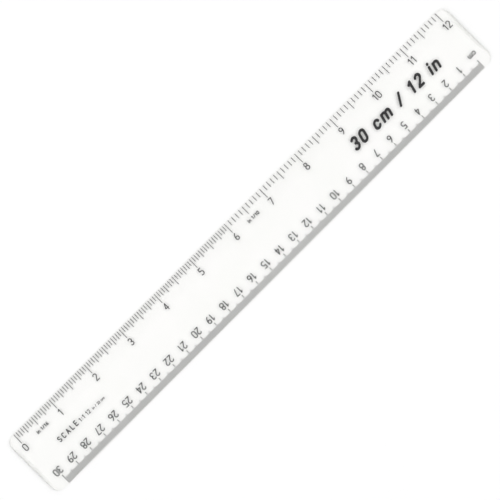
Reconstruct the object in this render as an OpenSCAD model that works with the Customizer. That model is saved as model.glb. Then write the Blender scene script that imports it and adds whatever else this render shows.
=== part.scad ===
// Clear plastic ruler, 30 cm and 12 in, with both long edges bevelled and printed scales.
// X runs along the blade from 0 in to 12 in, Y runs towards the inch edge, and Z is up.
// The origin is the middle of the flat underside.

/* [Blade] */
// Length over both ends
blade_length = 316; // [315:0.5:330]
// Width over both bevelled edges
blade_width = 38; // [36:0.5:46]
// Thickness of the flat middle
middle_thickness = 2.4; // [1.8:0.1:3.2]
// Thickness at each long edge
edge_thickness = 1; // [0.6:0.1:1.4]
// Width of each bevel, which carries a scale and its numerals
bevel_width = 11.5; // [11.5:0.5:14]
// Width of the short bevel along each end and round the corners
end_bevel = 2.3; // [1:0.1:2.5]
// Radius of the four corners, seen from above
corner_radius = 5; // [3:0.5:5]

/* [Ink] */
// Thickness of the printed film
ink_thickness = 0.05; // [0.02:0.01:0.1]
// Width of a printed tick
tick_width = 0.32; // [0.15:0.01:0.4]
// Gap between the inch edge and its ticks
inch_inset = 0.4; // [0:0.05:0.5]
// Gap between the metric edge and its ticks
metric_inset = 0.1; // [0:0.05:0.5]

/* [Inch scale] */
// Where a sixteenth tick ends, measured from the long edge
sixteenth_reach = 3.5; // [2:0.1:4]
// Where a tenth tick ends, measured from the long edge
tenth_reach = 3.6; // [2:0.1:4]
// Where an eighth tick ends
eighth_reach = 4; // [2:0.1:5]
// Where a quarter tick ends
quarter_reach = 4.8; // [2:0.1:5.5]
// Where a half tick ends
half_reach = 5.5; // [2:0.1:6]
// Where a whole inch tick ends
inch_reach = 6.4; // [3:0.1:6.5]
// Height of the inch numerals
inch_numeral_height = 4.1; // [2:0.1:4.2]
// Distance from the long edge to the tops of the inch numerals
inch_numeral_start = 7.2; // [6.6:0.1:7.3]

/* [Metric scale] */
// Distance from the middle of the blade to the metric zero, at the 12 in end
metric_zero = 150.7; // [150:0.1:151.5]
// Where a millimetre tick ends, measured from the long edge
millimetre_reach = 3.6; // [2:0.1:4]
// Where a 5 mm tick ends
half_centimetre_reach = 4.6; // [2:0.1:5]
// Where a 10 mm tick ends
centimetre_reach = 5.6; // [3:0.1:6]
// Height of the metric numerals
metric_numeral_height = 4.1; // [2:0.1:4.2]
// Distance from the long edge to the tops of the metric numerals
metric_numeral_start = 6.5; // [6.1:0.1:7.3]

/* [Lettering] */
// Pen width of the numerals
numeral_pen = 0.46; // [0.3:0.01:0.6]
// Height of the large legend's capitals
legend_height = 7.2; // [4:0.1:7.2]
// Pen width of the large legend
legend_pen = 1.4; // [0.6:0.05:1.6]
// Lean of the large legend, in degrees
legend_lean = 14; // [0:1:20]
// Height of the small note's first word
note_height = 3.1; // [2:0.1:3.5]

/* [Hidden] */
INCH = 25.4;
INCHES = 12;
SPLIT_INCH = 6;
CENTIMETRES = 30;
half_width = blade_width / 2;
half_length = blade_length / 2;
inch_zero = -INCHES * INCH / 2;
bevel_drop = middle_thickness - edge_thickness;
bevel_angle = atan2(bevel_drop, bevel_width);
CLEAR = "#f4faf680";
INK = "#26282b";
// How far the bevelled section is drawn past each end, before the ends are shaped
OVERSIZE = 10;

// Gap between neighbouring characters, in grid units, on top of the pen's width
NUMERAL_GAP = 0.75;
LABEL_GAP = 1;
LEGEND_GAP = 1.8;
// Unit labels of the inch scale: height, pen, and place of the middle from the inch tick and the edge
unit_height = 2;
unit_pen = 0.38;
unit_offset = 13.2;
unit_middle = 8.3;
// Metric unit label, which stands where a zero would: height of a capital, pen, and place of its foot
metric_unit_height = 3;
metric_unit_pen = 0.43;
metric_unit_foot = 10.6;
// Middle of the large legend
legend_x = 105.5;
legend_y = 0.4;
// Small note: foot of its words, then each word with its distance from 0 in, height, pen and gap
note_y = -1.2;
NOTE_WORDS = [
    ["SCALE", 14.4, note_height, 0.5, 3.5],
    ["1:1", 29.2, 0.75 * note_height, 0.38, 1.8],
    ["12", 34, 0.75 * note_height, 0.32, 0.8],
    ["in / 30 cm", 38.2, 0.5 * note_height, 0.24, 0.6]
];

$fn = 64;

// ---- Lettering: each character is a few pen paths on a grid 8 units tall ----

GRID_HEIGHT = 8;
// Straight steps in a half turn of 2 units' radius. Wider arcs get more, so that none looks angular.
HALF_TURN_STEPS = 8;

// Points along an arc about [x, y], from one angle to another
function arc(x, y, r, from, to) =
    let (steps = ceil(abs(to - from) / 180 * HALF_TURN_STEPS * sqrt(r / 2)))
    [
        for (i = [0:steps])
            let (angle = from + (to - from) * i / steps)
            [x + r * cos(angle), y + r * sin(angle)]
    ];

// Character, width on the grid, and pen paths
GLYPHS = [
    ["0", 4, [concat(arc(2, 6, 2, 0, 180), arc(2, 2, 2, 180, 360), [[4, 6]])]],
    ["1", 3, [[[2, 0], [2, 8]], [[2, 8], [0.2, 6.3]]]],
    ["2", 4, [concat(arc(2, 6, 2, 165, -atan(0.75)), [[0, 0]]), [[0, 0], [4, 0]]]],
    ["3", 4, [arc(2, 6, 2, 150, -90), arc(2, 2, 2, 90, -150)]],
    ["4", 4, [[[3, 0], [3, 8]], [[3, 8], [0, 2.4]], [[0, 2.4], [4, 2.4]]]],
    ["5", 4, [concat([[3.7, 8], [0.4, 8]], arc(1.6, 2.4, 2.4, 120, -130))]],
    ["6", 4, [arc(2, 2, 2, 0, 360), arc(7.5, 2, 7.5, 90 + atan(0.75), 180)]],
    ["7", 4, [[[0, 8], [4, 8]], [[4, 8], [1.2, 0]]]],
    ["8", 4, [arc(2, 6.2, 1.8, 0, 360), arc(2, 2.2, 2.2, 0, 360)]],
    ["9", 4, [arc(2, 6, 2, 0, 360), arc(-3.5, 6, 7.5, atan(0.75) - 90, 0)]],
    ["/", 3, [[[0, 0], [3, 8]]]],
    [":", 0.2, [[[0, 1.4], [0.2, 1.4]], [[0, 5], [0.2, 5]]]],
    ["c", 4, [concat(arc(2, 3.4, 2, 20, 180), arc(2, 2, 2, 180, 340))]],
    ["i", 0, [[[0, 0], [0, 5.4]], [[0, 7.4], [0, 8]]]],
    ["m", 7, [
        [[0, 0], [0, 5.4]],
        concat(arc(1.75, 3.65, 1.75, 180, 0), [[3.5, 0]]),
        concat(arc(5.25, 3.65, 1.75, 180, 0), [[7, 0]])
    ]],
    ["n", 3.8, [[[0, 0], [0, 5.4]], concat(arc(1.9, 3.5, 1.9, 180, 0), [[3.8, 0]])]],
    ["A", 4.4, [[[0, 0], [2.2, 8]], [[2.2, 8], [4.4, 0]], [[0.8, 2.7], [3.6, 2.7]]]],
    ["C", 4, [concat(arc(2, 6, 2, 30, 180), arc(2, 2, 2, 180, 330))]],
    ["E", 3.6, [[[3.6, 0], [0, 0], [0, 8], [3.6, 8]], [[0, 4.1], [3.2, 4.1]]]],
    ["L", 3.4, [[[0, 8], [0, 0], [3.4, 0]]]],
    ["S", 4, [arc(2, 6, 2, 30, 270), arc(2, 2, 2, 90, -150)]],
    [" ", 1.5, []]
];

function glyph(letter) = GLYPHS[search(letter, GLYPHS)[0]];

// Size of a grid unit at a given outer height of the characters
function unit_of(height, pen) = (height - pen) / GRID_HEIGHT;

// Where the character at a given place in a word starts, in grid units
function start_of(word, place, pen, gap) =
    place == 0 ? 0 : start_of(word, place - 1, pen, gap) + glyph(word[place - 1])[1] + pen + gap;

// Outer width of a word in millimetres
function word_width(word, height, pen, gap) =
    let (unit = unit_of(height, pen))
    (start_of(word, len(word), pen / unit, gap) - gap) * unit;

// Direction along a path at one of its points, scaled so that a mitred edge keeps its distance
function mitre(path, i) =
    let (
        back = path[max(i, 1)] - path[max(i, 1) - 1],
        ahead = path[min(i, len(path) - 2) + 1] - path[min(i, len(path) - 2)],
        along = back / norm(back) + ahead / norm(ahead)
    )
    2 * along / (along * along);

// Share of the pen's width that is drawn as a strip. The rest is swollen round it, which rounds the
// ends and closes the joints.
STRIP_SHARE = 0.2;

// A path drawn as a thin strip with square ends
module pen_path(path, pen) {
    sides = [
        for (i = [0:len(path) - 1])
            let (along = mitre(path, i))
            [-along.y, along.x] * pen * STRIP_SHARE / 2
    ];
    polygon(concat(
        [for (i = [0:len(path) - 1]) path[i] + sides[i]],
        [for (i = [len(path) - 1:-1:0]) path[i] - sides[i]]
    ));
}

// A word standing on the X axis and starting at the origin, its strokes swollen to the pen's width
module word(letters, height, pen, gap) {
    unit = unit_of(height, pen);
    offset(r = pen * (1 - STRIP_SHARE) / 2, $fn = 16)
        translate([pen / 2, pen / 2])
            for (place = [0:len(letters) - 1])
                translate([start_of(letters, place, pen / unit, gap) * unit, 0])
                    for (path = glyph(letters[place])[2])
                        pen_path(path * unit, pen);
}

// A word standing on the X axis, with its middle at the origin
module centred_word(letters, height, pen, gap) {
    translate([-word_width(letters, height, pen, gap) / 2, 0])
        word(letters, height, pen, gap);
}

// ---- Places to print on ----

module ink() {
    color(INK)
        linear_extrude(ink_thickness)
            children();
}

// The plane of one bevel. Its X runs along the ruler and its Y runs out to the long edge at Y = 0.
// turn is 0 for the inch edge, and 180 for the metric edge, which reads from the other side.
module on_bevel(turn) {
    rotate([0, 0, turn])
        translate([0, half_width, edge_thickness])
            rotate([-bevel_angle, 0, 0])
                children();
}

module on_middle() {
    translate([0, 0, middle_thickness])
        children();
}

// One tick on a bevel plane, from its inset to its reach
module tick(x, inset, reach) {
    translate([x - tick_width / 2, -reach])
        square([tick_width, reach - inset]);
}

// ---- The blade ----

module bevelled_section() {
    polygon([
        [-half_width, 0],
        [half_width, 0],
        [half_width, edge_thickness],
        [half_width - bevel_width, middle_thickness],
        [bevel_width - half_width, middle_thickness],
        [-half_width, edge_thickness]
    ]);
}

// The blade's outline from above, with a short bevel that rises inwards along the ends and corners.
// Between the corners it is as wide as the blade all the way up.
module bevelled_plan() {
    straight = [half_length - corner_radius, half_width - corner_radius];
    linear_extrude(edge_thickness) {
        square([2 * straight.x, blade_width], center = true);
        square([blade_length, 2 * straight.y], center = true);
        for (x = [-1, 1], y = [-1, 1])
            translate([x * straight.x, y * straight.y])
                circle(r = corner_radius);
    }
    translate([0, 0, edge_thickness]) {
        linear_extrude(bevel_drop)
            square([2 * straight.x, blade_width], center = true);
        rotate([90, 0, 0])
            linear_extrude(2 * straight.y, center = true)
                polygon([
                    [-half_length, 0],
                    [half_length, 0],
                    [half_length - end_bevel, bevel_drop],
                    [end_bevel - half_length, bevel_drop]
                ]);
        for (x = [-1, 1], y = [-1, 1])
            translate([x * straight.x, y * straight.y])
                cylinder(h = bevel_drop, r1 = corner_radius, r2 = corner_radius - end_bevel);
    }
}

module blade() {
    color(CLEAR)
        intersection() {
            rotate([90, 0, 90])
                linear_extrude(blade_length + 2 * OVERSIZE, center = true)
                    bevelled_section();
            bevelled_plan();
        }
}

// ---- The inch scale ----

function sixteenth_tick_reach(i) =
    i % 16 == 0 ? inch_reach
    : i % 8 == 0 ? half_reach
    : i % 4 == 0 ? quarter_reach
    : i % 2 == 0 ? eighth_reach
    : sixteenth_reach;

function tenth_tick_reach(i) =
    i % 10 == 0 ? inch_reach
    : i % 5 == 0 ? half_reach
    : tenth_reach;

module inch_sixteenths() {
    on_bevel(0)
        ink()
            for (i = [0:16 * SPLIT_INCH])
                tick(inch_zero + i * INCH / 16, inch_inset, sixteenth_tick_reach(i));
}

module inch_tenths() {
    on_bevel(0)
        ink()
            for (i = [10 * SPLIT_INCH + 1:10 * INCHES])
                tick(inch_zero + i * INCH / 10, inch_inset, tenth_tick_reach(i));
}

module inch_numerals() {
    on_bevel(0)
        ink()
            for (i = [0:INCHES])
                translate([inch_zero + i * INCH, -inch_numeral_start - inch_numeral_height])
                    centred_word(str(i), inch_numeral_height, numeral_pen, NUMERAL_GAP);
}

module inch_unit_labels() {
    on_bevel(0)
        ink()
            for (label = [["in 1/16", 0], ["in 1/10", SPLIT_INCH]])
                translate([
                    inch_zero + label[1] * INCH + unit_offset,
                    -unit_middle - unit_height / 2
                ])
                    centred_word(label[0], unit_height, unit_pen, LABEL_GAP);
}

// ---- The metric scale, drawn as it reads and turned round by on_bevel ----

module metric_ticks(reach, places) {
    on_bevel(180)
        ink()
            for (i = places)
                tick(i - metric_zero, metric_inset, reach);
}

module millimetre_ticks() {
    metric_ticks(millimetre_reach, [for (i = [1:10 * CENTIMETRES - 1]) if (i % 5 != 0) i]);
}

module half_centimetre_ticks() {
    metric_ticks(half_centimetre_reach, [for (i = [5:10:10 * CENTIMETRES]) i]);
}

module centimetre_ticks() {
    metric_ticks(centimetre_reach, [for (i = [0:10:10 * CENTIMETRES]) i]);
}

module centimetre_numerals() {
    on_bevel(180)
        ink()
            for (i = [1:CENTIMETRES])
                translate([10 * i - metric_zero, -metric_numeral_start - metric_numeral_height])
                    centred_word(str(i), metric_numeral_height, numeral_pen, NUMERAL_GAP);
}

module centimetre_label() {
    on_bevel(180)
        ink()
            translate([-metric_zero, -metric_unit_foot])
                centred_word("cm", metric_unit_height, metric_unit_pen, NUMERAL_GAP);
}

// ---- Words on the flat middle ----

module length_legend() {
    on_middle()
        ink()
            translate([legend_x, legend_y])
                multmatrix([[1, tan(legend_lean), 0, 0], [0, 1, 0, 0], [0, 0, 1, 0]])
                    translate([0, -legend_height / 2])
                        centred_word("30 cm / 12 in", legend_height, legend_pen, LEGEND_GAP);
}

module scale_note() {
    on_middle()
        ink()
            for (entry = NOTE_WORDS)
                translate([inch_zero + entry[1], note_y])
                    word(entry[0], entry[2], entry[3], entry[4]);
}

blade();
inch_sixteenths();
inch_tenths();
inch_numerals();
inch_unit_labels();
millimetre_ticks();
half_centimetre_ticks();
centimetre_ticks();
centimetre_numerals();
centimetre_label();
length_legend();
scale_note();
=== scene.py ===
import math

import bpy
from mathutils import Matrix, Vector


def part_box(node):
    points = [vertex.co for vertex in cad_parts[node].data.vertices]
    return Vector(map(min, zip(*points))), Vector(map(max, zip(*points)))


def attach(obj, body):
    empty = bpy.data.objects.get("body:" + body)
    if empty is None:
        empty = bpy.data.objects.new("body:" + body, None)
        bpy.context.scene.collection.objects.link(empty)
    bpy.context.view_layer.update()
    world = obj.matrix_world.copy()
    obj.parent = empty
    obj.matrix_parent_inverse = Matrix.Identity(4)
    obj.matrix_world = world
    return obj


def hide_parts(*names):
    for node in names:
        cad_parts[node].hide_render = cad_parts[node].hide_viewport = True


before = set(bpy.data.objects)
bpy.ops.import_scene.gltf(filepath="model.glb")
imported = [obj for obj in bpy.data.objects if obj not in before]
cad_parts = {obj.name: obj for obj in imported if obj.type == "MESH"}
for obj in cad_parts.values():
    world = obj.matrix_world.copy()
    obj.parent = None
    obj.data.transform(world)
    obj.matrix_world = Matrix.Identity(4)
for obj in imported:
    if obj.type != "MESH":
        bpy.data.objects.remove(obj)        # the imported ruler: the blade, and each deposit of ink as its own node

# A clear plastic ruler lying flat on a pale studio floor, in metres.
# X runs along the blade, Y runs towards the inch edge, and Z is up.

MM = 0.001
X, Y, Z = range(3)
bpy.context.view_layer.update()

# ---- The blade's measures, read from its CAD solid ----

# Points this close to an outermost plane count as lying on it
CLOSE = 0.01 * MM

blade_points = [vertex.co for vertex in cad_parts["blade"].data.vertices]
half_length, half_width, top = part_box("blade")[1]


def widest(axis, face):
    """How far the blade reaches along one axis, in the plane of its outermost face on another."""
    outermost = max(point[face] for point in blade_points)
    return max(point[axis] for point in blade_points if point[face] > outermost - CLOSE)


edge_top = widest(Z, Y)
flat_half_width = widest(Y, Z)
end_bevel = half_length - widest(X, Z)
corner_radius = half_width - widest(Y, X)
side_slope = (top - edge_top) / (half_width - flat_half_width)
end_slope = (top - edge_top) / end_bevel

# ---- The blade, with the soft edges that moulding leaves ----

# The printed faces lie this far under the ink. The surfaces don't coincide then, and the ends
# turn out paler, because ink that touches the plastic soaks up light guided inside it. Real
# ink does touch it.
INK_GAP = 0.01 * MM
# Radius along the outer edges, and height over which two planes melt into each other
EDGE_SOFTNESS = 0.12 * MM
MELT = 0.06 * MM
# How far in the end's bevel reaches at the least, which keeps the rings in order
LEAST_REACH = 1.5 * EDGE_SOFTNESS
EDGE_STEPS = 5
CORNER_STEPS = 20
# Rings over an end's bevel, as shares of the way from the outline to where that bevel ends
BEVEL_SHARES = (0.35, 0.7, 0.85, 0.92, 1.0, 1.08, 1.2)


def soft_minimum(first, second):
    """The lower of two heights, rounded where they meet."""
    overlap = max(MELT - abs(first - second), 0)
    return min(first, second) - overlap ** 2 / (4 * MELT)


def top_height(y, inset):
    """Height of the upper surface at y, that far inside the outline."""
    side = edge_top + side_slope * (half_width - abs(y))
    end = edge_top + end_slope * inset
    into = max(EDGE_SOFTNESS - inset, 0)
    rounding = EDGE_SOFTNESS - math.sqrt(EDGE_SOFTNESS ** 2 - into ** 2)
    return soft_minimum(soft_minimum(side, top), end) - rounding - INK_GAP


def rays():
    """The outline of the blade's right end, from the metric side to the inch side.

    Each ray is a centre and a direction: the outline lies corner_radius from the centre, and
    further in where the blade is inset. The last value is how far in the end's bevel reaches.
    """
    centre_x = half_length - corner_radius
    centre_y = half_width - corner_radius
    quarter = [math.pi / 2 * step / CORNER_STEPS for step in range(CORNER_STEPS + 1)]
    half = []
    melt_width = MELT / side_slope
    beside_flat = [flat_half_width + melt_width * share for share in (-1, -0.5, 0, 0.5, 1)]
    for y in [0, *beside_flat, (flat_half_width + centre_y) / 2]:
        half.append((y, 0.0, side_slope * (half_width - y) / end_slope))
    for angle in quarter:
        rise = side_slope * corner_radius * (1 - math.sin(angle))
        half.append((centre_y, angle, rise / (end_slope - side_slope * math.sin(angle))))

    found = []
    for y, angle, reach in half:
        reach = min(max(reach, LEAST_REACH), end_bevel)
        found.append((centre_x, y, math.cos(angle), math.sin(angle), reach))
    mirrored = [(x, -y, along, -across, reach) for x, y, along, across, reach in found[:0:-1]]
    return mirrored + found


def ring(inset_at, height=None):
    """One closed ring of points round the blade.

    inset_at gives the inset from how far in the end's bevel reaches there. Without a height, the
    ring lies on the upper surface.
    """
    right = []
    for x, y, along, across, reach in rays():
        inset = inset_at(reach)
        radius = corner_radius - inset
        point_y = y + radius * across
        z = top_height(point_y, inset) if height is None else height
        right.append((x + radius * along, point_y, z))
    return right + [(-x, y, z) for x, y, z in reversed(right)]


def moulded_blade():
    """Rings from the underside, up the wall and over the bevels, closed below and above by strips."""
    soft = EDGE_SOFTNESS
    turns = [math.pi / 2 * step / EDGE_STEPS for step in range(EDGE_STEPS + 1)]
    rings = []
    for turn in turns:
        inset = soft * (1 - math.sin(turn))
        rings.append(ring(lambda reach: inset, soft * (1 - math.cos(turn))))
    for turn in turns:
        inset = soft * (1 - math.cos(turn))
        rings.append(ring(lambda reach: inset))
    for share in BEVEL_SHARES:
        rings.append(ring(lambda reach: soft + (reach - soft) * share))

    vertices = [point for points in rings for point in points]
    around = len(rings[0])
    faces = []
    for start in range(0, len(vertices) - around, around):
        for place in range(around):
            here, beside = start + place, start + (place + 1) % around
            faces.append([here, beside, beside + around, here + around])
    last = len(vertices) - around
    for place in range(around // 2 - 1):
        opposite = around - 1 - place
        strip = [place, opposite, opposite - 1, place + 1]
        faces.append(strip)
        faces.append([last + corner for corner in reversed(strip)])

    mesh = bpy.data.meshes.new("moulded_blade")
    mesh.from_pydata(vertices, [], faces)
    mesh.shade_smooth()
    blade = bpy.data.objects.new("moulded_blade", mesh)
    bpy.context.scene.collection.objects.link(blade)
    blade.modifiers.new("flat_faces_stay_flat", "WEIGHTED_NORMAL")
    return blade


# ---- Materials ----

PLASTIC_IOR = 1.5
INK_IOR = 1.48
# The ends' roughness, the absorption and the tint are fitted to the tones wanted in the
# picture. They aren't measured on the plastic.
# Roughness of the two ends, and of a scratch elsewhere
END_ROUGHNESS = 0.7
SCRATCH_ROUGHNESS = 0.25
# Heights of the relief
RIPPLE_HEIGHT = 0.02 * MM
SCRATCH_DEPTH = 0.004 * MM
GRAIN_HEIGHT = 0.006 * MM
# Light lost per metre of plastic is this density, times what the colour lacks of white
ABSORPTION_DENSITY = 3.0
ABSORPTION_COLOUR = (0.92, 0.95, 0.87, 1)
# Each set of hairlines: its turn in radians, length in millimetres, and how rare its lines are
HAIRLINES = ((0.0, 30, 0.66), (0.35, 14, 0.7), (-0.8, 9, 0.72))
HAIRLINE_WIDTH = 0.14


def new_material(name):
    """A material with its node tree, its shader, and its object coordinates in metres."""
    material = bpy.data.materials.new(name)
    material.use_nodes = True
    tree = material.node_tree
    shader = tree.nodes["Principled BSDF"]
    place = tree.nodes.new("ShaderNodeTexCoord").outputs["Object"]
    return material, tree, shader, place


def noise(tree, place, size, detail=3.0, stretch=(1, 1, 1), turn=0.0):
    """Noise with features of about that size, drawn out along its own axes and turned about Z."""
    mapping = tree.nodes.new("ShaderNodeMapping")
    mapping.inputs["Rotation"].default_value = (0, 0, turn)
    mapping.inputs["Scale"].default_value = [1 / (size * share) for share in stretch]
    tree.links.new(place, mapping.inputs["Vector"])
    texture = tree.nodes.new("ShaderNodeTexNoise")
    texture.inputs["Scale"].default_value = 1.0
    texture.inputs["Detail"].default_value = detail
    tree.links.new(mapping.outputs["Vector"], texture.inputs["Vector"])
    return texture.outputs["Fac"]


def ramp(tree, value, stops):
    """A colour ramp. Each stop is a position and a grey or a colour."""
    node = tree.nodes.new("ShaderNodeValToRGB")
    elements = node.color_ramp.elements
    while len(elements) < len(stops):
        elements.new(0.5)
    for element, (position, colour) in zip(elements, stops):
        element.position = position
        element.color = (*colour, 1) if isinstance(colour, tuple) else (colour, colour, colour, 1)
    tree.links.new(value, node.inputs["Fac"])
    return node.outputs["Color"]


def combine(tree, operation, first, second):
    """One number from two, each of them a socket or a plain number."""
    node = tree.nodes.new("ShaderNodeMath")
    node.operation = operation
    for socket, value in zip(node.inputs, (first, second)):
        if isinstance(value, (int, float)):
            socket.default_value = value
        else:
            tree.links.new(value, socket)
    return node.outputs["Value"]


def bump(tree, height, distance, under=None):
    """A bump of that height in metres, on top of the one given as under."""
    node = tree.nodes.new("ShaderNodeBump")
    node.inputs["Strength"].default_value = 1.0
    node.inputs["Distance"].default_value = distance
    tree.links.new(height, node.inputs["Height"])
    if under is not None:
        tree.links.new(under, node.inputs["Normal"])
    return node.outputs["Normal"]


def scratches(tree, place):
    """Hairlines such as a pencil case leaves, most of them along the blade. 1 on a line, else 0."""
    lines = None
    for turn, length, rarity in HAIRLINES:
        streak = noise(tree, place, MM, 2.0, stretch=(length, HAIRLINE_WIDTH, 1), turn=turn)
        line = ramp(tree, streak, [(rarity, 0.0), (rarity + 0.03, 1.0)])
        lines = line if lines is None else combine(tree, "MAXIMUM", lines, line)
    return lines


def facing_the_ends(tree):
    """1 where the surface faces along the blade, as the two ends do, else 0."""
    direction = tree.nodes.new("ShaderNodeTexCoord").outputs["Normal"]
    split = tree.nodes.new("ShaderNodeSeparateXYZ")
    tree.links.new(direction, split.inputs["Vector"])
    return ramp(tree, combine(tree, "ABSOLUTE", split.outputs["X"], 0), [(0.15, 0.0), (0.4, 1.0)])


def clear_plastic():
    """Polished faces and long edges, with the ends left matt."""
    material, tree, shader, place = new_material("clear_plastic")
    shader.inputs["Transmission Weight"].default_value = 1.0
    shader.inputs["IOR"].default_value = PLASTIC_IOR

    tone = noise(tree, place, 24 * MM, 2.0)
    tint = ramp(tree, tone, [(0.35, (0.983, 0.983, 0.973)), (0.65, (0.990, 0.987, 0.981))])
    tree.links.new(tint, shader.inputs["Base Color"])

    lines = scratches(tree, place)
    haze = ramp(tree, noise(tree, place, 9 * MM, 4.0), [(0.4, 0.02), (0.75, 0.05)])
    scratched = combine(tree, "MULTIPLY", lines, SCRATCH_ROUGHNESS)
    roughness = combine(tree, "MAXIMUM", haze, scratched)
    frost = noise(tree, place, 0.3 * MM)
    matt = ramp(tree, frost, [(0.3, END_ROUGHNESS * 0.8), (0.7, END_ROUGHNESS)])
    matt_ends = combine(tree, "MULTIPLY", facing_the_ends(tree), matt)
    roughness = combine(tree, "MAXIMUM", roughness, matt_ends)
    tree.links.new(roughness, shader.inputs["Roughness"])

    ripple = noise(tree, place, 14 * MM, 2.0, stretch=(2.2, 1, 1))
    normal = bump(tree, ripple, RIPPLE_HEIGHT)
    normal = bump(tree, lines, -SCRATCH_DEPTH, under=normal)
    tree.links.new(normal, shader.inputs["Normal"])

    absorption = tree.nodes.new("ShaderNodeVolumeAbsorption")
    absorption.inputs["Color"].default_value = ABSORPTION_COLOUR
    absorption.inputs["Density"].default_value = ABSORPTION_DENSITY
    output = tree.nodes["Material Output"]
    tree.links.new(absorption.outputs["Volume"], output.inputs["Volume"])
    return material


def printed_ink(name, darkest, palest):
    """Screen-printed ink: slightly uneven in tone and gloss, with the grain of the screen."""
    material, tree, shader, place = new_material(name)
    shader.inputs["IOR"].default_value = INK_IOR

    tone = ramp(tree, noise(tree, place, 1.6 * MM, 5.0), [(0.35, darkest), (0.7, palest)])
    tree.links.new(tone, shader.inputs["Base Color"])
    gloss = ramp(tree, noise(tree, place, 0.7 * MM, 3.0), [(0.3, 0.38), (0.7, 0.6)])
    tree.links.new(gloss, shader.inputs["Roughness"])
    grain = noise(tree, place, 0.12 * MM, 2.0)
    tree.links.new(bump(tree, grain, GRAIN_HEIGHT), shader.inputs["Normal"])
    return material


def studio_paper():
    material, tree, shader, place = new_material("studio_paper")
    shade = ramp(tree, noise(tree, place, 90 * MM, 3.0), [(0.3, 0.93), (0.7, 0.945)])
    tree.links.new(shade, shader.inputs["Base Color"])
    shader.inputs["Roughness"].default_value = 1.0
    shader.inputs["Specular IOR Level"].default_value = 0.0
    return material


def dress(thing, material):
    thing.data.materials.clear()
    thing.data.materials.append(material)


# ---- The ruler ----

blade = moulded_blade()
dress(blade, clear_plastic())
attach(blade, "root")
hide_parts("blade")

scale_ink = printed_ink("scale_ink", darkest=(0.012, 0.012, 0.014), palest=(0.03, 0.03, 0.034))
legend_ink = printed_ink("legend_ink", darkest=(0.008, 0.008, 0.009), palest=(0.02, 0.02, 0.022))
LEGENDS = ("length_legend", "scale_note")
for name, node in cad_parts.items():
    if name != "blade":
        dress(node, legend_ink if name in LEGENDS else scale_ink)

# ---- The studio ----

# The paper lies this far under the blade, so that the two surfaces don't coincide
PAPER_GAP = 0.05 * MM
PAPER_HALF_SIDE = 4.0
# Strength of the even light, which grows from the horizon up to this share of the way overhead.
# The strengths are fitted to the same tones.
WORLD_AT_HORIZON = 0.93
WORLD_OVERHEAD = 1.035
WORLD_FULL_AT = 0.6
SOFTBOX_SIDE = 1.1
LIGHT_BOUNCES = 48
# The camera: width of the picture at the blade, focal length in millimetres, and turn about Z
VIEW_WIDTH = 255.4 * MM
LENS = 100
VIEW_TURN = math.radians(-45)


def paper_floor():
    side = PAPER_HALF_SIDE
    mesh = bpy.data.meshes.new("paper_floor")
    corners = [(-side, -side, 0), (side, -side, 0), (side, side, 0), (-side, side, 0)]
    mesh.from_pydata(corners, [], [[0, 1, 2, 3]])
    floor = bpy.data.objects.new("paper_floor", mesh)
    floor.location = (0, 0, -PAPER_GAP)
    bpy.context.scene.collection.objects.link(floor)
    dress(floor, studio_paper())


def studio_world():
    """Even light from all round, a little dimmer near the horizon."""
    world = bpy.data.worlds.new("studio")
    bpy.context.scene.world = world
    world.use_nodes = True
    tree = world.node_tree
    background = tree.nodes["Background"]
    background.inputs["Color"].default_value = (1, 1, 1, 1)
    direction = tree.nodes.new("ShaderNodeTexCoord")
    split = tree.nodes.new("ShaderNodeSeparateXYZ")
    tree.links.new(direction.outputs["Generated"], split.inputs["Vector"])
    strength = tree.nodes.new("ShaderNodeMapRange")
    strength.inputs["From Min"].default_value = 0.0
    strength.inputs["From Max"].default_value = WORLD_FULL_AT
    strength.inputs["To Min"].default_value = WORLD_AT_HORIZON
    strength.inputs["To Max"].default_value = WORLD_OVERHEAD
    tree.links.new(split.outputs["Z"], strength.inputs["Value"])
    tree.links.new(strength.outputs["Result"], background.inputs["Strength"])


def softbox(name, place, power):
    """A square area light that faces the ruler."""
    data = bpy.data.lights.new(name, "AREA")
    data.shape = "SQUARE"
    data.size = SOFTBOX_SIDE
    data.energy = power
    lamp = bpy.data.objects.new(name, data)
    lamp.location = place
    lamp.rotation_euler = Vector(place).to_track_quat("Z", "Y").to_euler()
    bpy.context.scene.collection.objects.link(lamp)


def follow_light_through_plastic(cycles):
    """Light is guided a long way inside a clear blade, and lost if its path is cut short."""
    cycles.max_bounces = LIGHT_BOUNCES
    cycles.glossy_bounces = LIGHT_BOUNCES
    cycles.transmission_bounces = LIGHT_BOUNCES
    # The glossy filter would roughen the plastic for light on its way to the paper, and dim the paper
    cycles.blur_glossy = 0.0


def overhead_camera():
    """Straight above, turned so that the blade runs from lower left to upper right."""
    data = bpy.data.cameras.new("camera")
    data.lens = LENS
    camera = bpy.data.objects.new("camera", data)
    camera.location = (0, 0, top + VIEW_WIDTH * LENS / data.sensor_width)
    camera.rotation_euler = (0, 0, VIEW_TURN)
    bpy.context.scene.collection.objects.link(camera)
    bpy.context.scene.camera = camera


paper_floor()
studio_world()
softbox("key", place=(-0.9, 0.7, 1.3), power=1.6)
softbox("fill", place=(1.0, -0.6, 1.2), power=0.9)
overhead_camera()
bpy.context.scene.view_settings.view_transform = "Standard"
follow_light_through_plastic(bpy.context.scene.cycles)
